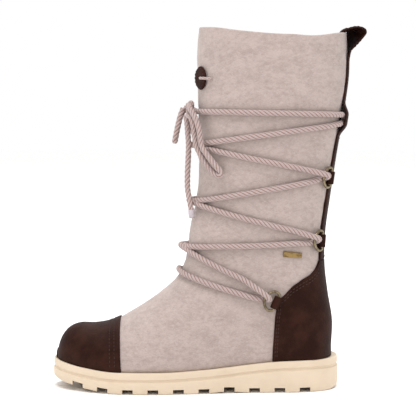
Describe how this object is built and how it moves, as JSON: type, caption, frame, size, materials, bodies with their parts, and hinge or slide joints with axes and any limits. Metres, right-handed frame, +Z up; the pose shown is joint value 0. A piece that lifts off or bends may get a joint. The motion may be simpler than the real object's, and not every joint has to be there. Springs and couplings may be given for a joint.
{
  "type": "felt boot",
  "caption": "Calf-high left felt boot with leather toe cap, counter and back strap, cord lacing wound round the shaft through D-rings, and a lugged rubber sole.",
  "frame": {"origin": "middle of the floor under the boot without its hanging cord", "axes": "+Z up, the toe points to -X, the outer side faces -Y"},
  "size_m": [0.2974, 0.1094, 0.3417],
  "materials": {
    "felt": "matt pressed wool felt, mottled warm grey",
    "sole_rubber": "matt cream rubber",
    "gum_rubber": "satin amber gum rubber with dark rim",
    "leather": "satin dark brown leather",
    "ring_metal": "antique brass",
    "lace_cord": "twisted cord, off-white with brown strands"
  },
  "bodies": {
    "root": {"upper": "felt", "insole": "felt", "outsole": "sole_rubber", "insert_heel_shield": "gum_rubber", "insert_heel_block": "gum_rubber", "insert_strip_outer": "gum_rubber", "insert_strip_inner": "gum_rubber", "insert_ball_pad": "gum_rubber", "insert_toe": "gum_rubber", "toe_cap": "leather", "heel_counter": "leather", "back_strap": "leather", "pull_loop": "leather", "front_button": "leather", "ring_outer_low": "ring_metal", "ring_inner_low": "ring_metal", "ring_outer_mid": "ring_metal", "ring_inner_mid": "ring_metal", "ring_outer_high": "ring_metal", "ring_inner_high": "ring_metal", "lace_bar": "lace_cord", "lace_cross_low": "lace_cord", "lace_cross_mid": "lace_cord", "lace_cross_high": "lace_cord", "lace_knot": "lace_cord", "lace_loop_outer": "lace_cord", "lace_loop_front": "lace_cord", "lace_end_front": "lace_cord", "lace_end_inner": "lace_cord"}
  },
  "joints": []
}
